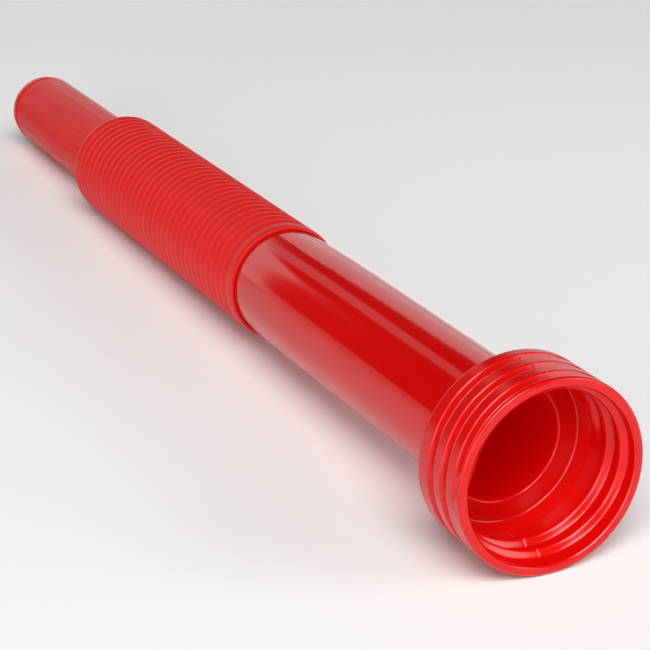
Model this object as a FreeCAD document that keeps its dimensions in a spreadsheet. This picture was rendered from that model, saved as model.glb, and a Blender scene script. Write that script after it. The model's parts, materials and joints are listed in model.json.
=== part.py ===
import FreeCAD, Part
import os
import Sketcher

# Screw-on flexible pouring funnel.  A blow-moulded tube with a threaded mouth, a corrugated
# sleeve that flexes, and a slim tip tube.  The axis runs along +Y from the mouth to the tip.
# The origin is the centre of the mouth opening, +Z is up.

document = FreeCAD.newDocument("Funnel")
sheet = document.addObject("Spreadsheet::Sheet", "Dims")

# name, size in millimetres (or turns, degrees, counts where the note says so), what it is
DIMENSIONS = [
    ("mouth_radius", 25.0, "outside of the mouth, over the ridges"),
    ("mouth_length", 19.75, "lip to the last ridge"),
    ("mouth_bore", 22.6, "inside radius of the mouth, at the thread root"),
    ("lip_round", 0.7, "rounding of the lip's outer edge"),
    ("lip_bevel", 0.4, "lead-in on the lip's inner edge"),
    ("shoulder_radius", 20.6, "where the sloping shoulder turns flat"),
    ("shoulder_back", 24.2, "lip to the back of the shoulder"),
    ("shoulder_wall", 1.7, "thickness of the shoulder"),
    ("shoulder_step", 0.6, "how far before the last ridge's back the bore ends"),
    ("waist_round", 1.0, "rounding outside, from the shoulder into the long tube"),
    ("waist_inner_round", 0.5, "rounding inside, from the shoulder into the long tube"),
    ("thread_pitch", 6.05, "axial step of the canister thread"),
    ("thread_turns", 2.45, "turns of thread"),
    ("thread_start", 2.2, "lip to the middle of the thread where it starts"),
    ("thread_angle", 209.5, "degrees round the axis where the thread starts"),
    ("thread_bore", 20.9, "inside radius of the thread's crest"),
    ("thread_crest", 1.5, "width of the thread's crest"),
    ("thread_base", 3.8, "width of the thread at its root"),
    ("groove_radius", 23.2, "outside radius at the bottom of the groove behind the thread"),
    ("groove_floor", 1.1, "width of that groove's bottom"),
    ("groove_mouth", 2.9, "width of that groove at the outside"),
    ("groove_overcut", 0.4, "how far the groove's section stands out past the mouth"),
    ("thread_sink", 0.3, "how far the thread's foot sinks into the wall"),
    ("tube_radius", 16.5, "outside of the long tube"),
    ("tube_wall", 1.4, "wall of the long tube"),
    ("neck_start", 123.0, "lip to where the long tube starts to narrow"),
    ("neck_end", 146.0, "lip to where the neck is straight again"),
    ("neck_radius", 15.6, "outside of the neck inside the sleeve"),
    ("neck_bend", 294.0, "radius of the long curve that narrows the tube"),
    ("tube_end", 149.4, "lip to the end of the long tube"),
    ("sleeve_radius", 17.1, "outside of the sleeve"),
    ("sleeve_start", 146.8, "lip to the cut edge of the sleeve"),
    ("sleeve_wall", 0.9, "wall of the sleeve"),
    ("first_crest", 153.8, "lip to the middle of the first convolution"),
    ("crest_pitch", 3.77, "step from one convolution to the next"),
    ("crest_count", 32, "number of convolutions"),
    ("crest_gap", 1.7, "open width of the groove between two convolutions"),
    ("crest_web", 0.6, "wall that joins a convolution's crest to its root"),
    ("root_radius", 15.8, "outside of a convolution's root, under the groove"),
    ("root_reach", 1.63, "how far the root runs back below the groove"),
    ("crest_round", 0.3, "rounding of a convolution's outer edges"),
    ("seat_start", 147.8, "lip to where the sleeve's collar grips the neck"),
    ("end_length", 4.1, "length of the sleeve's far shoulder"),
    ("end_round", 3.2, "rounding of the far shoulder"),
    ("socket_wall", 1.2, "wall of the socket that holds the tip tube"),
    ("socket_lead", 0.4, "from the far shoulder's first edge to the socket"),
    ("socket_fillet", 0.6, "extra thickness where the socket meets the far shoulder"),
    ("tip_radius", 12.4, "outside of the tip tube"),
    ("tip_wall", 1.4, "wall of the tip tube"),
    ("tip_seat_radius", 12.0, "outside of the tip tube inside its socket"),
    ("tip_end", 355.0, "lip to the end of the tip tube"),
    ("tip_taper", 2.4, "length of the lead-in at the end of the tip"),
    ("tip_drop", 0.7, "how much the lead-in narrows the tip"),
    ("bead_radius", 12.8, "outside of the bead that keeps the tip tube in its socket"),
    ("bead_length", 0.8, "length of that bead"),
]


class Size:
    """A size as a number together with the sheet formula that gives it."""

    def __init__(self, value, text):
        self.value = value
        self.text = text

    def __add__(self, other):
        other = as_size(other)
        return Size(self.value + other.value, f"({self.text} + {other.text})")

    def __sub__(self, other):
        other = as_size(other)
        return Size(self.value - other.value, f"({self.text} - {other.text})")

    def __mul__(self, factor):
        factor = as_size(factor)
        return Size(self.value * factor.value, f"({self.text} * {factor.text})")


def as_size(item):
    """Plain numbers join in formulas beside sheet sizes."""
    if isinstance(item, Size):
        return item
    return Size(float(item), str(item))


def fill_sheet():
    """One row for each size: its name, its number with an alias, and a note."""
    sizes = {}
    for row, (name, value, note) in enumerate(DIMENSIONS, start=1):
        sheet.set(f"A{row}", name)
        sheet.set(f"B{row}", str(value))
        sheet.setAlias(f"B{row}", name)
        sheet.set(f"C{row}", note)
        sizes[name] = Size(float(value), f"Dims.{name}")
    document.recompute()
    return sizes


dim = fill_sheet()


def origin_plane(body, role):
    """The body's own origin plane with this role."""
    for feature in body.Origin.OriginFeatures:
        if feature.Role == role:
            return feature
    raise RuntimeError(f"no {role} in {body.Label}")


def new_body(name):
    body = document.addObject("PartDesign::Body", name)
    body.Label = name
    return body


def place_point(sketch, geometry, end, radius, along, tag):
    """Tie one end of a line to its radius and its place along the axis."""
    origin = (-1, 1)
    for kind, size in (("DistanceX", radius), ("DistanceY", along)):
        if abs(size.value) < 1e-9:
            axis = -1 if kind == "DistanceY" else -2
            sketch.addConstraint(Sketcher.Constraint("PointOnObject", geometry, end, axis))
            continue
        number = sketch.addConstraint(
            Sketcher.Constraint(kind, origin[0], origin[1], geometry, end, size.value))
        name = f"{tag}_{kind[-1]}"
        sketch.renameConstraint(number, name)
        sketch.setExpression(f"Constraints.{name}", size.text)


def half_section(body, name, outline):
    """A closed sketch of half a section.

    The outline lists (radius, place along the axis) corners in order.  A third item gives the
    radius of the arc that leads from this corner to the next, and a fourth says whether that
    arc bulges to the left (1) or to the right (-1) of the way to the next corner.
    """
    sketch = body.newObject("Sketcher::SketchObject", name)
    sketch.AttachmentSupport = [(origin_plane(body, "XY_Plane"), "")]
    sketch.MapMode = "FlatFace"
    corners = []
    for corner in outline:
        corners.append((as_size(corner[0]), as_size(corner[1]), corner[2:]))
    ends = []
    for index, (radius, along, bend) in enumerate(corners):
        following = corners[(index + 1) % len(corners)]
        start = FreeCAD.Vector(radius.value, along.value, 0)
        finish = FreeCAD.Vector(following[0].value, following[1].value, 0)
        if bend:
            middle = arc_middle(start, finish, as_size(bend[0]).value, bend[1])
            geometry = sketch.addGeometry(Part.Arc(start, middle, finish), False)
            forward = is_forward(sketch, geometry, start)
            ends.append((geometry, 1, 2) if forward else (geometry, 2, 1))
        else:
            geometry = sketch.addGeometry(Part.LineSegment(start, finish), False)
            ends.append((geometry, 1, 2))
    for index, (geometry, first, last) in enumerate(ends):
        following = ends[(index + 1) % len(ends)]
        sketch.addConstraint(
            Sketcher.Constraint("Coincident", geometry, last, following[0], following[1]))
    for index, (radius, along, bend) in enumerate(corners):
        geometry, first, last = ends[index]
        place_point(sketch, geometry, first, radius, along, f"corner{index}")
        if bend:
            size = as_size(bend[0])
            number = sketch.addConstraint(
                Sketcher.Constraint("Radius", geometry, size.value))
            sketch.renameConstraint(number, f"bend{index}")
            sketch.setExpression(f"Constraints.bend{index}", size.text)
    return sketch


def arc_middle(start, finish, radius, side):
    """The point half way along an arc of this radius between two corners."""
    chord = finish - start
    half = chord.Length / 2
    rise = radius - max(radius * radius - half * half, 0.0) ** 0.5
    left = FreeCAD.Vector(-chord.y, chord.x, 0)
    left.normalize()
    return (start + finish) * 0.5 + left * (rise * side)


def is_forward(sketch, geometry, start):
    """Whether the sketch keeps the arc's ends in the order they were given."""
    return (sketch.getPoint(geometry, 1) - start).Length < 1e-6


def turn(body, name, sketch):
    """Turn a half section about the axis."""
    feature = body.newObject("PartDesign::Revolution", name)
    feature.Profile = sketch
    feature.ReferenceAxis = (sketch, ["V_Axis"])
    feature.Angle = 360.0
    sketch.Visibility = False
    document.recompute()
    return feature


def wind(body, name, kind, outline):
    """Sweep a small section round the axis along the thread's helix."""
    sketch = half_section(body, f"{name}Section", outline)
    sketch.AttachmentOffset = FreeCAD.Placement(
        FreeCAD.Vector(0, 0, 0),
        FreeCAD.Rotation(FreeCAD.Vector(0, 1, 0), dim["thread_angle"].value))
    sketch.setExpression("AttachmentOffset.Rotation.Angle", dim["thread_angle"].text)
    before = body.Shape.Volume
    feature = body.newObject(f"PartDesign::{kind}Helix", name)
    feature.Profile = sketch
    feature.ReferenceAxis = (sketch, ["V_Axis"])
    feature.Mode = "pitch-turns-angle"
    feature.setExpression("Pitch", dim["thread_pitch"].text)
    feature.setExpression("Turns", dim["thread_turns"].text)
    feature.LeftHanded = False
    feature.Reversed = False
    sketch.Visibility = False
    document.recompute()
    change = body.Shape.Volume - before
    print(f"{name}: volume changed by {change:.1f} mm3")
    if (change > 0) != (kind == "Additive"):
        raise RuntimeError(f"{name} did nothing")
    return feature


def threaded_tube():
    """Mouth, shoulder, long tube and neck, blown in one piece."""
    body = new_body("threaded_spout_tube")
    mouth = dim["mouth_radius"]
    bore = dim["mouth_bore"]
    lip = dim["lip_round"]
    bevel = dim["lip_bevel"]
    back = dim["shoulder_back"]
    wall = dim["shoulder_wall"]
    slope = dim["shoulder_radius"]
    tube = dim["tube_radius"]
    inside = tube - dim["tube_wall"]
    neck = dim["neck_radius"]
    neck_inside = neck - dim["tube_wall"]
    round_out = dim["waist_round"]
    round_in = dim["waist_inner_round"]
    outline = [
        (bore + bevel, 0),
        (mouth - lip, 0, lip, -1),
        (mouth, lip),
        (mouth, dim["mouth_length"]),
        (slope, back),
        (tube + round_out, back, round_out, 1),
        (tube, back + round_out),
        (tube, dim["neck_start"], dim["neck_bend"], -1),
        (neck, dim["neck_end"]),
        (neck, dim["tube_end"]),
        (neck_inside, dim["tube_end"]),
        (neck_inside, dim["neck_end"]),
        (inside, dim["neck_start"]),
        (inside, back - wall + round_in, round_in, -1),
        (inside + round_in, back - wall),
        (slope, back - wall),
        (bore, dim["mouth_length"] - dim["shoulder_step"]),
        (bore, bevel),
    ]
    turn(body, "TubeWall", half_section(body, "TubeSection", outline))

    start = dim["thread_start"]
    floor = dim["groove_floor"] * 0.5
    opening = dim["groove_mouth"] * 0.5
    clear = mouth + dim["groove_overcut"]
    wind(body, "OuterGroove", "Subtractive", [
        (dim["groove_radius"], start - floor),
        (clear, start - opening),
        (clear, start + opening),
        (dim["groove_radius"], start + floor),
    ])
    crest = dim["thread_crest"] * 0.5
    base = dim["thread_base"] * 0.5
    foot = bore + dim["thread_sink"]
    wind(body, "InnerThread", "Additive", [
        (dim["thread_bore"], start - crest),
        (foot, start - base),
        (foot, start + base),
        (dim["thread_bore"], start + crest),
    ])
    return body


def near_collar():
    """Plain end of the sleeve, which grips the neck of the long tube."""
    body = new_body("sleeve_near_collar")
    outer = dim["sleeve_radius"]
    inner = outer - dim["sleeve_wall"]
    last = dim["first_crest"] - dim["crest_pitch"] * 0.5 - dim["crest_gap"] * 0.5
    rounding = dim["crest_round"]
    outline = [
        (inner, dim["sleeve_start"]),
        (outer, dim["sleeve_start"]),
        (outer, last - rounding, rounding, -1),
        (outer - rounding, last),
        (inner, last),
        (inner, dim["tube_end"]),
        (dim["neck_radius"], dim["tube_end"]),
        (dim["neck_radius"], dim["seat_start"]),
        (inner, dim["seat_start"]),
    ]
    turn(body, "CollarWall", half_section(body, "CollarSection", outline))
    return body


def convolution(number):
    """One convolution of the sleeve: crest, web and the root under the groove before it."""
    body = new_body(f"sleeve_convolution_{number:02d}")
    outer = dim["sleeve_radius"]
    inner = outer - dim["sleeve_wall"]
    root = dim["root_radius"]
    root_inner = root - dim["sleeve_wall"]
    reach = dim["root_reach"]
    web = reach + dim["crest_web"]
    width = dim["crest_pitch"] - dim["crest_gap"]
    rounding = dim["crest_round"]
    outline = [
        (root_inner, 0),
        (root, 0),
        (root, reach),
        (outer - rounding, reach, rounding, -1),
        (outer, reach + rounding),
        (outer, reach + width - rounding, rounding, -1),
        (outer - rounding, reach + width),
        (inner, reach + width),
        (inner, web),
        (root_inner, web),
    ]
    turn(body, "ConvolutionWall", half_section(body, "ConvolutionSection", outline))
    steps = number - 1
    place = dim["first_crest"] + dim["crest_pitch"] * steps - width * 0.5 - reach
    body.setExpression("Placement.Base.y", place.text)
    return body


def far_collar():
    """Rounded far shoulder of the sleeve with the socket that holds the tip tube."""
    body = new_body("sleeve_far_collar")
    outer = dim["sleeve_radius"]
    root = dim["root_radius"]
    root_inner = root - dim["sleeve_wall"]
    reach = dim["root_reach"]
    end = reach + dim["end_length"]
    bulge = dim["end_round"]
    seat = dim["tip_seat_radius"]
    socket = seat + dim["socket_wall"]
    lead = dim["socket_lead"]
    shelf = end - dim["socket_wall"] - dim["socket_fillet"]
    rounding = dim["crest_round"]
    outline = [
        (root_inner, 0),
        (root, 0),
        (root, reach),
        (outer - rounding, reach, rounding, -1),
        (outer, reach + rounding),
        (outer, end - bulge, bulge, -1),
        (outer - bulge, end),
        (seat, end),
        (seat, lead),
        (socket, lead),
        (socket, shelf),
        (root_inner, shelf),
    ]
    turn(body, "ShoulderWall", half_section(body, "ShoulderSection", outline))
    body.setExpression("Placement.Base.y", far_collar_place().text)
    return body


def far_collar_place():
    """The far shoulder follows the last convolution by one groove."""
    width = dim["crest_pitch"] - dim["crest_gap"]
    last = dim["first_crest"] + dim["crest_pitch"] * (dim["crest_count"] - 1)
    return last + width * 0.5 + dim["crest_gap"] - dim["root_reach"]


def tip_tube():
    """Slim tube that goes into the filler, with a lead-in at its open end."""
    body = new_body("tip_tube")
    outer = dim["tip_radius"]
    inner = outer - dim["tip_wall"]
    seat = dim["tip_seat_radius"]
    bead_back = far_collar_place() + dim["socket_lead"]
    bead_front = bead_back - dim["bead_length"]
    face = far_collar_place() + dim["root_reach"] + dim["end_length"]
    outline = [
        (inner, bead_front),
        (dim["bead_radius"], bead_front),
        (dim["bead_radius"], bead_back),
        (seat, bead_back),
        (seat, face),
        (outer, face),
        (outer, dim["tip_end"] - dim["tip_taper"]),
        (outer - dim["tip_drop"], dim["tip_end"]),
        (inner, dim["tip_end"]),
    ]
    turn(body, "TipWall", half_section(body, "TipSection", outline))
    return body


pieces = [threaded_tube(), near_collar()]
for number in range(1, int(dim["crest_count"].value) + 1):
    pieces.append(convolution(number))
pieces.append(far_collar())
pieces.append(tip_tube())
document.recompute()

for item in document.Objects:
    if "Invalid" in item.State or "Error" in item.State:
        raise RuntimeError(f"{item.Label} failed: {item.State}")
for piece in pieces:
    if piece.Shape.isNull() or not piece.Shape.isValid() or len(piece.Shape.Solids) != 1:
        raise RuntimeError(f"{piece.Label} is not one valid solid")

os.makedirs("parts", exist_ok=True)
for piece in pieces:
    piece.Shape.exportStep(f"parts/{piece.Label}.step")
    box = piece.Shape.BoundBox
    print(f"{piece.Label}: {piece.Shape.Volume:.0f} mm3, y {box.YMin:.2f} to {box.YMax:.2f}")
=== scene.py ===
# %% [markdown]
# # A red screw-on pouring funnel
#
# A funnel like this one goes with a fuel canister.  Its wide mouth screws onto the
# canister's neck, a long smooth tube carries the liquid, a corrugated sleeve bends towards the
# filler, and a slim tip goes into it.  Everything is one colour, so what tells the pieces apart
# is the surface: the long tube is blown against a polished mould and shines, the sleeve is
# softer and satin, and the tip is scuffed from going in and out of fillers.
#
# The first cell loads the model of the funnel.  It is the frame that every piece built
# here has to fit: metres, the axis along +Y from the mouth to the tip, and +Z up.

# %% Load the frame
import json
import math

import bpy
import numpy as np
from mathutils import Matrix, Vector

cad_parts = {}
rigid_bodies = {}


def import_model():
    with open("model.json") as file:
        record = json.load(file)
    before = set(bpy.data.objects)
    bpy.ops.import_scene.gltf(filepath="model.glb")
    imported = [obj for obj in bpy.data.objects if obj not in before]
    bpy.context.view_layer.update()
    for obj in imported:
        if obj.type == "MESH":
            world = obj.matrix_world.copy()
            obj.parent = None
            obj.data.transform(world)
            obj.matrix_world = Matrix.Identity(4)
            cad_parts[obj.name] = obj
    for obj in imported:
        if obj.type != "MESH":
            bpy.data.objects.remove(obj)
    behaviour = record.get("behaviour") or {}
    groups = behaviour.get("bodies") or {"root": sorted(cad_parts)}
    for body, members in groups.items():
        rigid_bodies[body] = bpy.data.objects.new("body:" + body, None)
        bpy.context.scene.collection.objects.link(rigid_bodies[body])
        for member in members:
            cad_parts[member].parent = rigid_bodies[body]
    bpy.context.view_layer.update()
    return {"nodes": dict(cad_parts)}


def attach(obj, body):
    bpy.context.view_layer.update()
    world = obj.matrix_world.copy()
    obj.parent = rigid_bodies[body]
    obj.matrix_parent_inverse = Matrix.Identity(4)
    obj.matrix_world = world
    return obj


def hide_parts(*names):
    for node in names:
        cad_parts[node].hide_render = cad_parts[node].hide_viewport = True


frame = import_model()
MM = 0.001


# %% [markdown]
# Every piece of the funnel is round, so every piece can be drawn the way a mould maker draws it:
# one outline of half the section, turned about the axis.  An outline is a list of corners, each
# with its radius, its place along the axis, and how much it is rounded.
#
# Rounding matters more than anything else on a glossy part.  A perfectly sharp edge never
# catches the light, while a real moulded edge always shows a thin bright line.  Each rounding
# also gets a row of points just before and just after it.  Without them the smooth shading
# would smear the bend over the whole flat wall beside it.

# %% Outlines with rounded corners
def unit(vector):
    """The same direction with a length of 1."""
    return vector / np.linalg.norm(vector)


def rounded(corners, steps=6, guard=0.12):
    """The corners as points in millimetres, with an arc in place of each rounded corner."""
    points = []
    count = len(corners)
    for index, (radius, along, rounding) in enumerate(corners):
        here = np.array([radius, along], float)
        if rounding <= 0:
            points.append(here)
            continue
        before = unit(np.array(corners[index - 1][:2], float) - here)
        after = unit(np.array(corners[(index + 1) % count][:2], float) - here)
        half = math.acos(np.clip(before @ after, -1, 1)) / 2
        reach = rounding / math.tan(half)
        centre = here + unit(before + after) * rounding / math.sin(half)
        first, last = here + before * reach, here + after * reach
        points.append(first + before * guard * rounding)
        sweep = math.pi - 2 * half
        for step in range(steps + 1):
            share = step / steps
            spoke = (math.sin((1 - share) * sweep) * (first - centre)
                     + math.sin(share * sweep) * (last - centre)) / math.sin(sweep)
            points.append(centre + spoke)
        points.append(last + after * guard * rounding)
    return np.array(points)


def subdivided(points, longest):
    """The same closed outline with no step longer than longest(start, end), in millimetres."""
    result = []
    for index, start in enumerate(points):
        end = points[(index + 1) % len(points)]
        parts = max(1, math.ceil(np.linalg.norm(end - start) / longest(start, end)))
        for part in range(parts):
            result.append(start + (end - start) * part / parts)
    return np.array(result)


# %% [markdown]
# Turning the outline gives a grid of points, rows along the outline and columns round the axis.
# The same helper also takes a function that moves points in or out, which is how the thread, the
# mould's parting lines and other things that aren't round get in.
#
# The angle grows from +X towards -Z, because that is the way a right-handed thread climbs.
# Each mesh also gets a map that unrolls it: across the map is the way round the piece and up
# the map is the way along the outline, both in metres.  The finishes below are drawn on it, so
# the scuffs stay put on the plastic when the sleeve bends.

# %% Turning an outline into a mesh
def way_along(points):
    """The distance from the first point to each point, in millimetres."""
    steps = np.linalg.norm(np.diff(points, axis=0), axis=1)
    return np.concatenate([[0.0], np.cumsum(steps)])


def turned(outline, degrees, shape=None, map_radius=16.0):
    """Points, faces and map of a closed outline turned about +Y.

    shape(radius, along, degrees, row) gives how far each point moves outwards, in millimetres.
    """
    radius = np.repeat(outline[:, :1], len(degrees), axis=1)
    along = np.repeat(outline[:, 1:], len(degrees), axis=1)
    angle = np.repeat(degrees[None, :], len(outline), axis=0)
    if shape is not None:
        rows = np.repeat(np.arange(len(outline))[:, None], len(degrees), axis=1)
        radius = radius + shape(radius, along, angle, rows)
    turn = np.radians(angle)
    points = np.stack([radius * np.cos(turn), along, -radius * np.sin(turn)], axis=-1) * MM

    rows, columns = len(outline), len(degrees)
    row, column = np.meshgrid(np.arange(rows), np.arange(columns), indexing="ij")
    next_row, next_column = (row + 1) % rows, (column + 1) % columns
    faces = np.stack([row * columns + column, row * columns + next_column,
                      next_row * columns + next_column, next_row * columns + column], axis=-1)

    length = way_along(np.vstack([outline, outline[:1]]))
    across = np.append(degrees, degrees[0] + 360.0) / 360.0 * 2 * math.pi * map_radius
    unrolled = np.stack([
        np.stack([across[column], length[row]], axis=-1),
        np.stack([across[column + 1], length[row]], axis=-1),
        np.stack([across[column + 1], length[row + 1]], axis=-1),
        np.stack([across[column], length[row + 1]], axis=-1)], axis=-2) * MM
    return points.reshape(-1, 3), faces.reshape(-1, 4), unrolled.reshape(-1, 2)


def mesh_piece(name, grid):
    """One smooth object made of a turned grid."""
    points, faces, unrolled = grid
    mesh = bpy.data.meshes.new(name)
    mesh.vertices.add(len(points))
    mesh.vertices.foreach_set("co", points.ravel())
    mesh.loops.add(faces.size)
    mesh.loops.foreach_set("vertex_index", faces.ravel().astype(np.int32))
    mesh.polygons.add(len(faces))
    mesh.polygons.foreach_set("loop_start", np.arange(0, faces.size, 4, dtype=np.int32))
    mesh.update(calc_edges=True)
    layer = mesh.uv_layers.new(name="unrolled")
    layer.data.foreach_set("uv", unrolled.ravel().astype(np.float32))
    mesh.shade_smooth()
    mesh.validate()
    piece = bpy.data.objects.new(name, mesh)
    bpy.context.scene.collection.objects.link(piece)
    return piece


def even_degrees(count):
    """This many angles, evenly round the axis."""
    return np.arange(count) * 360.0 / count


def report(piece):
    """Prints a piece's faces and its box along the axis."""
    along = [corner[1] / MM for corner in piece.bound_box]
    faces = len(piece.data.polygons)
    print(f"{piece.name}: {faces} faces, y {min(along):.2f} to {max(along):.2f} mm")


# %% [markdown]
# ## The threaded spout tube
#
# The mouth, the sloping shoulder, the long tube and the neck inside the sleeve are blown in one
# piece.  A blown wall has the same thickness everywhere, so the thread inside the mouth shows
# on the outside as well: where the wall is pushed in to make the thread, a groove winds round
# the outside.  The ridges that are left between the turns of the groove are what the hand grips.
#
# The thread is a right-handed 6 mm screw thread of two and a half turns.  It starts level, just
# behind the lip, before it begins to climb, and it fades in and out over a short ramp.

# %% Where the thread is
THREAD_PITCH = 6.05
THREAD_START = 2.2
THREAD_FROM = 209.5
THREAD_TURNS = 2.45
THREAD_TO = THREAD_FROM + 360.0 * THREAD_TURNS
THREAD_LEVEL = 40.0
THREAD_RAMP = 26.0
THREAD_HEIGHT, GRIP_GROOVE_DEPTH = 1.7, 1.8
THREAD_HALVES = (0.3, 1.95)
GRIP_GROOVE_HALVES = (0.45, 1.62)


def smooth(share):
    """0 up to 0, 1 from 1 on, and a soft curve between the two."""
    share = np.clip(share, 0.0, 1.0)
    return share * share * (3 - 2 * share)


def thread_share(degrees, along, half_flat, half_foot):
    """1 on the flat of the thread, 0 beside it, and in between on its flanks.

    half_flat and half_foot are half its width at the top and at the foot, in millimetres.
    """
    best = np.zeros_like(along)
    for turn in range(4):
        wound = degrees % 360.0 + 360.0 * turn
        middle = THREAD_START + THREAD_PITCH * np.maximum(wound - THREAD_FROM, 0.0) / 360.0
        away = np.abs(along - middle)
        flank = smooth((half_foot - away) / (half_foot - half_flat))
        ramp = (smooth((wound - THREAD_FROM + THREAD_LEVEL) / THREAD_RAMP)
                * smooth((THREAD_TO - wound) / THREAD_RAMP))
        best = np.maximum(best, flank * ramp)
    return best


print("thread runs from", THREAD_START, "mm to",
      round(THREAD_START + THREAD_PITCH * THREAD_TURNS, 2), "mm behind the lip")

# %% [markdown]
# A blow mould has two halves, and where they meet a hair-thin line of plastic is left.  On the
# mouth it runs over the top and the bottom of the ridges, and on the long tube a fine line runs
# down the side that faces up.  It is one or two tenths of a millimetre high, but without it
# the tube looks turned on a lathe instead of moulded.

# %% The parting lines
def columns_with_lines(count, lines, reach):
    """Even columns, with extra ones close to each parting line."""
    degrees = set(np.round(even_degrees(count), 4))
    for line in lines:
        degrees = {angle for angle in degrees if abs((angle - line + 180) % 360 - 180) > reach}
        for offset in (-1.0, -0.66, -0.4, -0.2, 0.0, 0.2, 0.4, 0.66, 1.0):
            degrees.add(round((line + offset * reach) % 360.0, 4))
    return np.array(sorted(degrees))


def flash(degrees, line, half_width):
    """The height of a parting line as a share: 1 on the line and 0 beyond half_width degrees."""
    away = np.abs((degrees - line + 180.0) % 360.0 - 180.0)
    return smooth(1.0 - away / half_width)


MOUTH_LINES = (270.0, 90.0)
TUBE_LINE = 290.0
MOUTH_LINE_HEIGHT, TUBE_LINE_HEIGHT = 0.20, 0.09
SHOULDER = 24.2
NECK_FROM, NECK_TO = 112.0, 146.5
NECK_DROP = 0.6

# %% [markdown]
# The tube's outline starts on the inside of the lip, goes out over the rounded lip, along the
# ridges, down the slope of the shoulder and along the tube, and then comes back inside.
# Towards the sleeve the tube gets narrower by about half a millimetre in a long soft curve.
# That curve is easy to miss, yet it is what bends the reflections into the bright
# wedge beside the sleeve.

# %% The outline of the spout tube
tube_corners = [
    (22.95, 0.0, 0.25),
    (25.0, 0.0, 0.75),
    (25.0, 19.6, 0.55),
    (20.6, 24.2, 0.9),
    (16.5, 24.2, 1.1),
    (16.5, 149.4, 0.35),
    (15.1, 149.4, 0.35),
    (15.1, 22.5, 0.7),
    (20.7, 22.5, 0.9),
    (22.6, 19.0, 1.2),
    (22.6, 0.35, 0.12),
]


def longest_tube_step(start, end):
    """Small steps where the thread is, long ones on the plain tube."""
    if min(start[1], end[1]) < 19.9 and min(start[0], end[0]) > 20.8:
        return 0.16
    return 1.6


tube_outline = subdivided(rounded(tube_corners), longest_tube_step)
outer_rows = np.argmax(tube_outline[:, 1])
tube_columns = columns_with_lines(360, (*MOUTH_LINES, TUBE_LINE), 0.9)

# %% [markdown]
# Four things are added to the outline: the groove outside, the thread inside, the narrowing
# towards the sleeve, and the parting lines.  Each point gets one move in or out that sums them
# up.  The result is then held inside the frame's box, so that no parting line sticks out of it.

# %% The thread, the neck and the parting lines
def tube_shape(radius, along, degrees, row):
    """The groove, the thread, the narrowing neck and the parting lines."""
    outside = row <= outer_rows
    mouth = (along < 20.5) & (radius > 20.0)
    lip_free = smooth((along - 0.5) / 0.5)
    groove = -GRIP_GROOVE_DEPTH * thread_share(degrees, along, *GRIP_GROOVE_HALVES) * lip_free
    ridge = -THREAD_HEIGHT * thread_share(degrees, along, *THREAD_HALVES)
    ridge = ridge * smooth((along - 0.3) / 0.5)
    move = np.where(mouth & outside, groove, 0.0) + np.where(mouth & ~outside, ridge, 0.0)

    tube = along > SHOULDER + 1.2
    reach = np.clip((along - NECK_FROM) / (NECK_TO - NECK_FROM), 0.0, 1.0)
    move -= np.where(tube, NECK_DROP * reach ** 2, 0.0)

    for line in MOUTH_LINES:
        crest = mouth & (along > 0.8)
        move += np.where(crest & outside, MOUTH_LINE_HEIGHT * flash(degrees, line, 0.6), 0.0)
        move += np.where(crest & ~outside, -MOUTH_LINE_HEIGHT * flash(degrees, line, 0.7), 0.0)
    move += np.where(tube & outside, TUBE_LINE_HEIGHT * flash(degrees, TUBE_LINE, 0.5), 0.0)
    return move


def inside_box(shape, limit):
    """Keeps a shape's radius within the frame's box."""
    def held(radius, along, degrees, row):
        """The shape's move, cut off at the limit."""
        return np.minimum(radius + shape(radius, along, degrees, row), limit) - radius
    return held


def note_share(piece, name, share):
    """Writes a number for every point of a piece, for its finish to read."""
    places = np.zeros(len(piece.data.vertices) * 3, np.float32)
    piece.data.vertices.foreach_get("co", places)
    layer = piece.data.attributes.new(name, "FLOAT", "POINT")
    layer.data.foreach_set("value", share(places.reshape(-1, 3) / MM).astype(np.float32))


# %% [markdown]
# The finish needs to know two things that depend on the place, so they are written on the mesh.
# "satin" marks the mouth, which is handled and has lost some of its gloss.  The other marks the
# inside, where a red glow is painted on: the wall is thin enough for daylight to come through it,
# so the inside of the real tube glows a deep red where an opaque one would be nearly black, and
# here that light is painted in as an emission instead of passing through the wall.

# %% Build the spout tube
SATIN_TO, SATIN_FADE = 25.4, 1.6
# Painted glow: how brightly the inside of the tube and of the mouth is painted to glow red,
# standing in for daylight through the wall.
PAINTED_GLOW_IN_TUBE, PAINTED_GLOW_IN_MOUTH = 0.11, 0.05


def painted_glow_inside(place):
    """How bright the painted red glow is on the inside of the wall, in place of light through it.
    """
    radius = np.hypot(place[:, 0], place[:, 2])
    in_tube = radius < 15.6
    in_mouth = (radius < 22.9) & (place[:, 1] > 1.0) & (place[:, 1] < 22.9)
    return np.where(in_tube, PAINTED_GLOW_IN_TUBE, np.where(in_mouth, PAINTED_GLOW_IN_MOUTH, 0.0))


spout_tube = mesh_piece("spout_tube_with_threaded_mouth",
                        turned(tube_outline, tube_columns, shape=inside_box(tube_shape, 25.0)))
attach(spout_tube, "spout")
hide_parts("threaded_spout_tube")
note_share(spout_tube, "satin", lambda place: smooth((SATIN_TO - place[:, 1]) / SATIN_FADE))
note_share(spout_tube, "painted_glow_inside", painted_glow_inside)
report(spout_tube)

# %% [markdown]
# ## The corrugated sleeve
#
# The sleeve is a separate, softer moulding pushed over the neck.  Between its two plain ends
# run thirty-two shallow rings with thirty-three grooves, and each groove is a place where
# it can bend or stretch a little.
#
# In the frame every ring is a body of its own, joined to the next in the middle of a groove.
# The skin is built the same way: one closed ring for each body, from the bottom of one groove to
# the bottom of the next.  Each ring has a thin tongue that reaches under the ring after it.  At
# rest the tongue is hidden.  When a groove opens, by bending or by stretching, the tongue is its
# floor, so the groove gets wider and never shows a hole, and on the inner side of a bend the
# two flanks close up like a bellows.  Bands that bend smoothly from body to body were tried
# first, and with thirty-three joints in a row some of them came apart at the ends of the motion.

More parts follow.
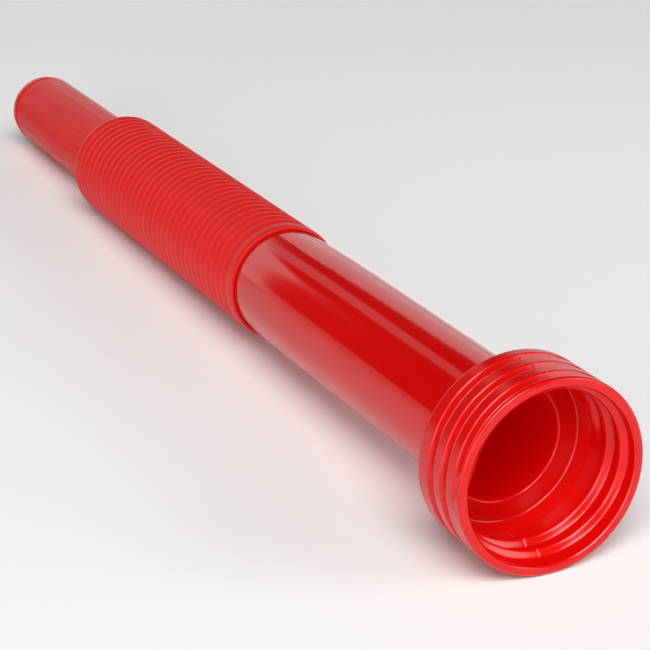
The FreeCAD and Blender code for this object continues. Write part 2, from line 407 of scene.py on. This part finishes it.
# %% One groove and its tongue
SLEEVE_RADIUS = 17.1
SLEEVE_BORE = 16.14
FIRST_RING = 153.8
RING_PITCH = 3.77
RINGS = 32
GROOVE_DEPTH = 0.66
GROOVE_HALF = 1.48
GROOVE_FLOOR = 0.20
GROOVE_BOTTOM = SLEEVE_RADIUS - GROOVE_DEPTH
HALF_GROOVE = np.array([1.58, 1.48, 1.36, 1.15, 0.9, 0.65, 0.42, 0.28, 0.18, 0.08, 0.03, 0.01])
sleeve_columns = even_degrees(200)


def groove_radius(away):
    """The sleeve's radius at a distance from the middle of a groove."""
    dip = np.clip((GROOVE_HALF - np.abs(away)) / (GROOVE_HALF - GROOVE_FLOOR), 0, 1)
    return SLEEVE_RADIUS - GROOVE_DEPTH * dip


def flank(groove, side):
    """The flank on the near side (-1) or the far side (+1) of a groove, in order of place."""
    away = side * HALF_GROOVE[::-side]
    return np.stack([groove_radius(away), groove + away], axis=-1)


TONGUE_GAP = 0.08
TONGUE_TOP = GROOVE_BOTTOM - TONGUE_GAP
BEND_TONGUE, STRETCH_TONGUE = 1.5, 2.2
ROOM_TOP = 16.62


def tongue(number, groove):
    """The tongue under the next ring; every third groove stretches and needs a longer one."""
    reach = STRETCH_TONGUE if number % 3 == 2 else BEND_TONGUE
    return np.array([(TONGUE_TOP, groove + 0.05), (TONGUE_TOP, groove + reach),
                     (SLEEVE_BORE, groove + reach), (SLEEVE_BORE, groove)])


def room_for_tongue(groove):
    """The hollow on the inside of a ring, where the tongue of the ring before it lies."""
    return np.array([(SLEEVE_BORE, groove + 2.95), (ROOM_TOP, groove + 2.85),
                     (ROOM_TOP, groove + 1.0), (16.42, groove + 0.05)])


# %% [markdown]
# The rings are all alike, apart from the longer tongue at every third groove, which is the kind
# that stretches.  Each ring goes on its own body.

# %% Build the rings
groove_places = [FIRST_RING + RING_PITCH * (number - 0.5) for number in range(RINGS + 1)]
for number in range(1, RINGS + 1):
    before, after = groove_places[number - 1], groove_places[number]
    outline = np.vstack([flank(before, 1), flank(after, -1), tongue(number, after),
                         room_for_tongue(before)])
    ring = mesh_piece(f"sleeve_ring_{number:02d}", turned(outline, sleeve_columns, map_radius=17.0))
    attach(ring, f"convolution_{number:02d}")
    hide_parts(f"sleeve_convolution_{number:02d}")
print("rings:", RINGS, " grooves from", groove_places[0], "to", round(groove_places[-1], 2), "mm")
report(ring)

# %% [markdown]
# The sleeve's plain end is cut straight.  Its edge is a thin bright ring, and the small step
# down to the neck shows as a dark line.  At the other end the sleeve closes in
# over a round shoulder and grips the tip.

# %% The sleeve's two ends
def longest_sleeve_step(start, end):
    """Even steps along the sleeve's ends, in millimetres."""
    return 0.8


collar_edge = rounded([
    (15.92, 149.8, 0), (15.92, 147.6, 0.2), (16.05, 146.8, 0.12), (16.85, 146.8, 0.22),
    (17.1, 148.2, 0.8), (17.1, 149.9, 0)])
first_groove, last_groove = groove_places[0], groove_places[-1]
collar_outline = np.vstack([collar_edge, flank(first_groove, -1), tongue(0, first_groove),
                            [(SLEEVE_BORE, 150.0)]])
collar_outline = subdivided(collar_outline, longest_sleeve_step)
near_collar = mesh_piece("sleeve_end_on_neck",
                         turned(collar_outline, sleeve_columns, map_radius=17.0))
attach(near_collar, "spout")
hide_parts("sleeve_near_collar")
report(near_collar)

shoulder_edge = rounded([
    (17.1, 274.3, 0), (17.1, 277.5, 2.9), (12.45, 277.5, 0.2), (12.45, 276.2, 0),
    (SLEEVE_BORE, 276.2, 0.3), (SLEEVE_BORE, 275.6, 0)], steps=10)
shoulder_outline = np.vstack([flank(last_groove, 1), shoulder_edge, room_for_tongue(last_groove)])
shoulder_outline = subdivided(shoulder_outline, longest_sleeve_step)
far_shoulder = mesh_piece("sleeve_shoulder_on_tip",
                          turned(shoulder_outline, sleeve_columns, map_radius=17.0))
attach(far_shoulder, "tip")
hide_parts("sleeve_far_collar")
report(far_shoulder)

# %% [markdown]
# ## The tip
#
# The tip is a plain tube that slides into the filler.  Its last three millimetres lean in, so
# that it finds the hole, and a shallow groove runs round it just before the lean begins.

# %% The tip tube
tip_outline = rounded([
    (11.0, 271.5, 0.2), (12.0, 271.5, 0.2), (12.0, 277.6, 0), (12.4, 277.6, 0.1), (12.4, 348.6, 0),
    (12.4, 351.6, 0.3), (11.85, 355.0, 0.6), (11.0, 355.0, 0.3)])


def longest_tip_step(start, end):
    """Small steps on the outside near the end, where the groove is, and long ones elsewhere."""
    return 0.1 if end[1] > 348.8 and start[0] > 11.7 else 1.2


tip_outline = subdivided(tip_outline, longest_tip_step)
TIP_LINE = 272.0
TIP_GROOVE_PLACE, TIP_GROOVE_DEPTH, TIP_GROOVE_REACH = 350.5, 0.50, 0.42
TIP_LEAN_FROM = 351.6
TIP_NICK_DEPTH, TIP_LINE_HEIGHT = 0.22, 0.03
tip_columns = columns_with_lines(240, (TIP_LINE,), 1.2)


def tip_shape(radius, along, degrees, row):
    """The groove before the lean, and the mould's parting line with a nick at its end."""
    outside = radius > 11.6
    groove = TIP_GROOVE_DEPTH * np.exp(-((along - TIP_GROOVE_PLACE) / TIP_GROOVE_REACH) ** 2)
    nick = TIP_NICK_DEPTH * flash(degrees, TIP_LINE, 0.9) * smooth((along - TIP_LEAN_FROM) / 0.6)
    seam = TIP_LINE_HEIGHT * flash(degrees, TIP_LINE, 0.7)
    return np.where(outside & (along > 278.0), seam - groove - nick, 0.0)


tip_piece = mesh_piece("slim_tip",
                       turned(tip_outline, tip_columns, shape=inside_box(tip_shape, 12.4)))
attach(tip_piece, "tip")
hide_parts("tip_tube")
report(tip_piece)

# %% [markdown]
# ## Finishes
#
# All three finishes are the same soft plastic coloured right through with a bright red pigment.
# The light that goes in comes back out red, and only the gloss on the surface is white.  So
# the base colour stays a deep red, and the pieces differ in how rough the skin is, how deep its
# fine relief is, and how much light goes into it.
#
# Streaks that run lengthwise come from drawing the tube over its mould and from handling.
# A noise that is stretched a hundred times along the unrolled map gives them.  Most of such a
# noise lies between 0.3 and 0.7, so that range is spread between the two values wanted.

# %% Helpers for the finishes
NOISE_LOW, NOISE_HIGH = 0.3, 0.7


def new_finish(name):
    """A new material, its nodes, its links and its main shader."""
    material = bpy.data.materials.new(name)
    material.use_nodes = True
    nodes, links = material.node_tree.nodes, material.node_tree.links
    return material, nodes, links, nodes["Principled BSDF"]


def unrolled_noise(nodes, links, across, along, detail=3.0, seed=0.0):
    """Noise on the unrolled map; across and along are how many spots fit in one metre."""
    where = nodes.new("ShaderNodeUVMap")
    where.uv_map = "unrolled"
    stretch = nodes.new("ShaderNodeMapping")
    stretch.inputs["Scale"].default_value = (across, along, 1.0)
    stretch.inputs["Location"].default_value = (seed, seed * 0.7, 0.0)
    noise = nodes.new("ShaderNodeTexNoise")
    noise.inputs["Scale"].default_value = 1.0
    noise.inputs["Detail"].default_value = detail
    links.new(where.outputs["UV"], stretch.inputs["Vector"])
    links.new(stretch.outputs["Vector"], noise.inputs["Vector"])
    return noise.outputs["Fac"]


def between(nodes, links, source, value_low, value_high):
    """Spreads a noise between two values."""
    scale = nodes.new("ShaderNodeMapRange")
    scale.inputs["From Min"].default_value = NOISE_LOW
    scale.inputs["From Max"].default_value = NOISE_HIGH
    scale.inputs["To Min"].default_value = value_low
    scale.inputs["To Max"].default_value = value_high
    links.new(source, scale.inputs["Value"])
    return scale.outputs["Result"]


def two_reds(nodes, links, source, deep, light):
    """A colour between a deep and a light red, chosen by a noise."""
    ramp = nodes.new("ShaderNodeValToRGB")
    ramp.color_ramp.elements[0].position = NOISE_LOW
    ramp.color_ramp.elements[1].position = NOISE_HIGH
    ramp.color_ramp.elements[0].color = (*deep, 1.0)
    ramp.color_ramp.elements[1].color = (*light, 1.0)
    links.new(source, ramp.inputs["Fac"])
    return ramp.outputs["Color"]


def relief(nodes, links, source, depth, below=None):
    """Fine relief of a given depth in metres; below is another relief that it lies on."""
    bump = nodes.new("ShaderNodeBump")
    bump.inputs["Distance"].default_value = depth
    bump.inputs["Strength"].default_value = 1.0
    links.new(source, bump.inputs["Height"])
    if below is not None:
        links.new(below, bump.inputs["Normal"])
    return bump.outputs["Normal"]


# %% [markdown]
# The three finishes are the same chain of nodes with different amounts.  Clouds mix two reds so
# close that only the eye's corner notices.  Lengthwise streaks change the gloss.  Three reliefs
# lie on each other: slow waves, as in anything blown, which make long reflections waver, then the
# streaks, then a fine grain.
#
# Light also goes into the plastic and comes out beside where it went in, mostly the red.
# That is the subsurface part, and it softens the edges of the ridges.  The sleeve goes without.
# The last lines paint a red glow, an emission that stands in for the light coming through the wall,
# where the mesh is marked for it.

# %% One red plastic
CLOUDS = (60, 25, 4.0, 3.1)
STREAKS = (900, 9, 5.0, 7.7)
WAVES = (45, 18, 1.0, 1.3)
GRAIN = (2600, 2600, 2.0, 5.5)
SATIN_ROUGHNESS = 0.10
REACH_OF_COLOURS = (1.0, 0.12, 0.08)


def red_plastic(name, deep, light, rough, depths, glow, reach, index):
    """A red plastic.

    deep and light are its two reds, rough its lowest and highest roughness, and depths are those
    of the streaks, waves and grain in metres.  glow and reach say how much light goes into it and
    how far, and index is its index of refraction.
    """
    material, nodes, links, shader = new_finish(name)
    streak_depth, wave_depth, grain_depth = depths
    clouds = unrolled_noise(nodes, links, *CLOUDS)
    links.new(two_reds(nodes, links, clouds, deep, light), shader.inputs["Base Color"])

    streaks = unrolled_noise(nodes, links, *STREAKS)
    gloss = between(nodes, links, streaks, *rough)
    satin = nodes.new("ShaderNodeAttribute")
    satin.attribute_name = "satin"
    sum_up = nodes.new("ShaderNodeMath")
    sum_up.operation = "MULTIPLY_ADD"
    sum_up.inputs[1].default_value = SATIN_ROUGHNESS
    links.new(satin.outputs["Fac"], sum_up.inputs[0])
    links.new(gloss, sum_up.inputs[2])
    links.new(sum_up.outputs["Value"], shader.inputs["Roughness"])

    waves = relief(nodes, links, unrolled_noise(nodes, links, *WAVES), wave_depth)
    lines = relief(nodes, links, streaks, streak_depth, waves)
    grain = relief(nodes, links, unrolled_noise(nodes, links, *GRAIN), grain_depth, lines)
    links.new(grain, shader.inputs["Normal"])

    shader.inputs["IOR"].default_value = index
    shader.inputs["Subsurface Weight"].default_value = glow
    shader.inputs["Subsurface Radius"].default_value = REACH_OF_COLOURS
    shader.inputs["Subsurface Scale"].default_value = reach
    # Painted glow: a red emission where the mesh is marked, standing in for daylight coming through
    # the wall.
    painted_glow_node = nodes.new("ShaderNodeAttribute")
    painted_glow_node.attribute_name = "painted_glow_inside"
    shader.inputs["Emission Color"].default_value = (1.0, 0.0, 0.0, 1.0)
    links.new(painted_glow_node.outputs["Fac"], shader.inputs["Emission Strength"])
    return material


# %% [markdown]
# The long tube is the shiniest: its roughness stays near a tenth, so the lamps beyond it show as
# clear streaks.

# %% Glossy plastic of the spout tube
tube_finish = red_plastic(
    "glossy red plastic", (0.56, 0.0014, 0.0010), (0.61, 0.0026, 0.0020), (0.07, 0.13),
    depths=(0.0000014, 0.00006, 0.0000006), glow=0.35, reach=0.0012, index=1.46)
spout_tube.data.materials.append(tube_finish)

# %% [markdown]
# The sleeve is a softer plastic with a satin skin.  The gloss spreads so wide over it that the
# whole sleeve looks a little lighter than the tube, with a soft glint on every ring.

# %% Satin plastic of the sleeve
sleeve_finish = red_plastic(
    "satin red plastic", (0.58, 0.010, 0.009), (0.64, 0.015, 0.013), (0.36, 0.46),
    depths=(0.0000010, 0.00002, 0.0000040), glow=0.0, reach=0.001, index=1.36)
for piece in bpy.data.objects:
    if piece.name.startswith("sleeve_") and piece.name not in frame["nodes"]:
        piece.data.materials.append(sleeve_finish)

# %% [markdown]
# The tip has been pushed into fillers, so its gloss is scratched lengthwise and hazy.  A hazy
# skin reflects less, and its index is lower than the plastic's own to say so.

# %% Scuffed plastic of the tip
tip_finish = red_plastic(
    "scuffed red plastic", (0.58, 0.004, 0.0035), (0.65, 0.009, 0.008), (0.20, 0.34),
    depths=(0.0000014, 0.00003, 0.0000030), glow=0.35, reach=0.0012, index=1.13)
tip_piece.data.materials.append(tip_finish)
print("finishes:", tube_finish.name, "|", sleeve_finish.name, "|", tip_finish.name)

# %% [markdown]
# ## The stage
#
# The funnel lies on a plain pale floor.  The mouth is twice as wide as the tip, so on a flat
# table the tip comes down and the axis tilts two degrees.  The frame keeps the axis level, so
# the floor is tilted instead, until both ends rest on it.

# %% The floor
REST_MOUTH = 25.0
REST_TIP_RADIUS, REST_TIP_PLACE = 12.4, 352.5
FLOOR_HALF = 6.0
FLOOR_GAP = 0.0002
tilt = math.atan2(REST_MOUTH - REST_TIP_RADIUS, REST_TIP_PLACE)
floor_corners = []
for side_across, side_along in ((-1, -1), (1, -1), (1, 1), (-1, 1)):
    across, along = side_across * FLOOR_HALF, side_along * FLOOR_HALF
    floor_corners.append((across, along, -REST_MOUTH * MM - FLOOR_GAP + along * math.tan(tilt)))
floor_mesh = bpy.data.meshes.new("floor")
floor_mesh.from_pydata(floor_corners, [], [(0, 1, 2, 3)])
floor = bpy.data.objects.new("floor", floor_mesh)
bpy.context.scene.collection.objects.link(floor)
floor_finish, nodes, links, shader = new_finish("matte white floor")
spots = nodes.new("ShaderNodeTexNoise")
spots.inputs["Scale"].default_value = 3.0
spots.inputs["Detail"].default_value = 4.0
tint = nodes.new("ShaderNodeValToRGB")
tint.color_ramp.elements[0].color = (0.91, 0.91, 0.91, 1.0)
tint.color_ramp.elements[1].color = (0.95, 0.95, 0.95, 1.0)
links.new(spots.outputs["Fac"], tint.inputs["Fac"])
links.new(tint.outputs["Color"], shader.inputs["Base Color"])
shader.inputs["Roughness"].default_value = 0.8
shader.inputs["Specular IOR Level"].default_value = 0.2
floor_mesh.materials.append(floor_finish)
print("floor tilt in degrees:", round(math.degrees(tilt), 2))

# %% [markdown]
# ## The light
#
# The long tube is a curved mirror.  Seen from the front it can only reflect what stands beyond
# the funnel, never what stands on the camera's side, so the light is split in two.  Three large
# lamps on the camera's side make the plastic bright and leave no reflection on the tube.
# Beyond the funnel stand a bright wall on the right, a narrow strip overhead and a low strip on
# the left, which draw the soft streaks.

# %% The lamps
LAMPS_FACE = (0.0, 0.12, 0.0)


def lamp(name, place, width, height, brightness):
    """A flat soft lamp; its power in watts is what gives its face this brightness."""
    data = bpy.data.lights.new(name, "AREA")
    data.shape = "RECTANGLE"
    data.size, data.size_y = width, height
    data.energy = brightness * math.pi * width * height
    holder = bpy.data.objects.new(name, data)
    holder.location = place
    direction = np.array(LAMPS_FACE, float) - np.array(place, float)
    holder.rotation_euler = Vector(direction).to_track_quat("-Z", "Y").to_euler()
    bpy.context.scene.collection.objects.link(holder)


lamp("key above the camera", (-0.7, -1.4, 1.8), 1.8, 1.4, brightness=7.6)
lamp("fill from the left", (-1.6, -1.4, 0.5), 1.3, 1.1, brightness=4.2)
lamp("fill from the right", (1.6, -1.2, 0.8), 1.3, 1.1, brightness=3.8)
lamp("wall on the right", (0.88, 1.5, 0.38), 0.9, 0.92, brightness=0.85)
lamp("strip overhead", (0.0, 1.35, 0.92), 0.26, 0.60, brightness=0.50)
lamp("strip on the left", (-1.0, 1.55, 0.10), 0.8, 0.18, brightness=0.45)

# %% [markdown]
# A broad panel stands straight ahead.  The plain part of the tube leans too little to see it,
# but the narrowing neck does see it, and that is the bright wedge beside the sleeve.

# %% The panel ahead and the light of the room
PANEL_PLACE = 1.63
PANEL_BRIGHTNESS = 1.25
PANEL_OUTLINE = ((-0.86, 0.05), (0.50, 0.05), (0.50, 0.55), (0.22, 0.75), (-0.49, 0.83),
                 (-0.68, 0.50), (-0.81, 0.27))
panel_mesh = bpy.data.meshes.new("panel_ahead")
panel_mesh.from_pydata([(across, PANEL_PLACE, up) for across, up in PANEL_OUTLINE], [],
                       [tuple(range(len(PANEL_OUTLINE)))])
panel = bpy.data.objects.new("panel_ahead", panel_mesh)
bpy.context.scene.collection.objects.link(panel)
panel_finish, nodes, links, shader = new_finish("lit panel")
shader.inputs["Base Color"].default_value = (0.0, 0.0, 0.0, 1.0)
shader.inputs["Emission Color"].default_value = (1.0, 1.0, 1.0, 1.0)
shader.inputs["Emission Strength"].default_value = PANEL_BRIGHTNESS
panel_mesh.materials.append(panel_finish)

ROOM_LIGHT = 0.02
world = bpy.data.worlds.new("studio")
bpy.context.scene.world = world
world.use_nodes = True
world.node_tree.nodes["Background"].inputs["Color"].default_value = (1.0, 1.0, 1.0, 1.0)
world.node_tree.nodes["Background"].inputs["Strength"].default_value = ROOM_LIGHT

# %% [markdown]
# ## The camera
#
# The camera looks down on the mouth from its left side with a long lens, so the
# tube gets only a little smaller towards the tip.

# %% Place the camera
CAMERA_PLACE = (-0.25097, -0.39371, 0.21728)
CAMERA_FIELD = 16.758
camera_data = bpy.data.cameras.new("camera")
camera_data.lens_unit = "FOV"
camera_data.angle = math.radians(CAMERA_FIELD)
camera_data.clip_end = 50.0
camera = bpy.data.objects.new("camera", camera_data)
camera.location = CAMERA_PLACE
camera.rotation_euler = Vector((0.40912, 0.83833, -0.36031)).to_track_quat("-Z", "Y").to_euler()
bpy.context.scene.collection.objects.link(camera)
bpy.context.scene.camera = camera
bpy.context.scene.view_settings.view_transform = "Standard"
bpy.context.scene.view_settings.look = "None"
print("camera at", [round(value, 3) for value in camera.location])
